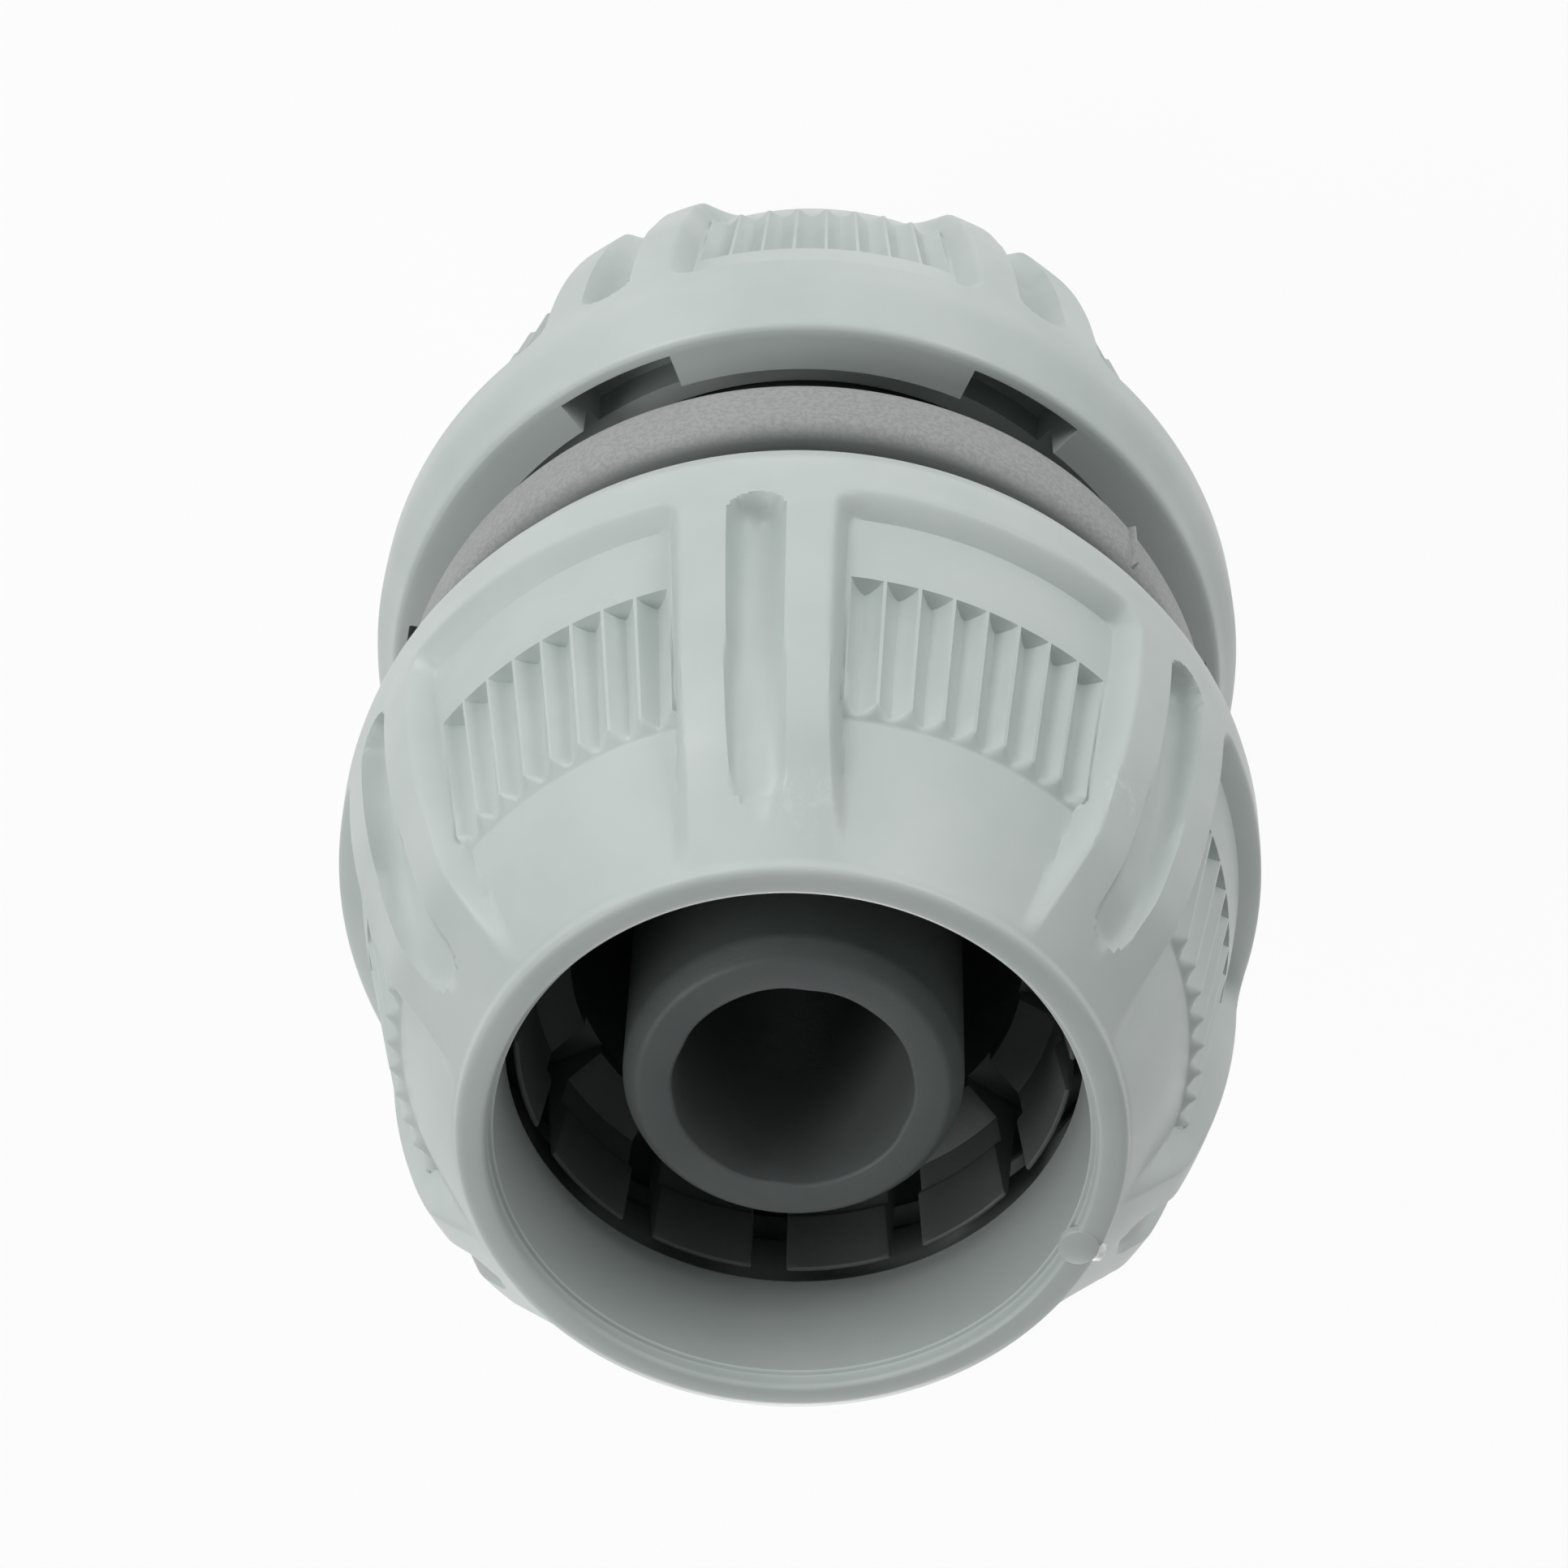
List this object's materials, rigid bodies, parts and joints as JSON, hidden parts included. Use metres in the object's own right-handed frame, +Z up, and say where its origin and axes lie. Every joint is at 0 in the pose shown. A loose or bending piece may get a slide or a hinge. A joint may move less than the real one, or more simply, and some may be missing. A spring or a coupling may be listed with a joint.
{
  "type": "hose mender",
  "caption": "Straight hose mender: a centre body with a nipple and a slotted claw ring at each end, and two ribbed clamping nuts with grip pads.",
  "frame": {"origin": "centre of the lower nut's rim, on the surface it stands on", "axes": "+Z up along the axis of the water passage, -Y towards the side seen in the picture"},
  "size_m": [0.04, 0.04, 0.0583],
  "materials": {
    "body_plastic": "moulded dark grey plastic with a fine matt grain",
    "nut_plastic": "moulded pale blue-grey plastic, satin"
  },
  "bodies": {
    "centre_body": {"centre_body": "body_plastic"},
    "upper_nut": {"upper_nut": "nut_plastic"},
    "lower_nut": {"lower_nut": "nut_plastic"}
  },
  "joints": [
    {"name": "upper_nut_travel", "type": "slide", "parent": "centre_body", "child": "upper_nut", "axis": [0, 0, 1], "range_m": [-0.0016, 0.022]},
    {"name": "lower_nut_travel", "type": "slide", "parent": "centre_body", "child": "lower_nut", "axis": [0, 0, -1], "range_m": [-0.0016, 0.022]}
  ]
}
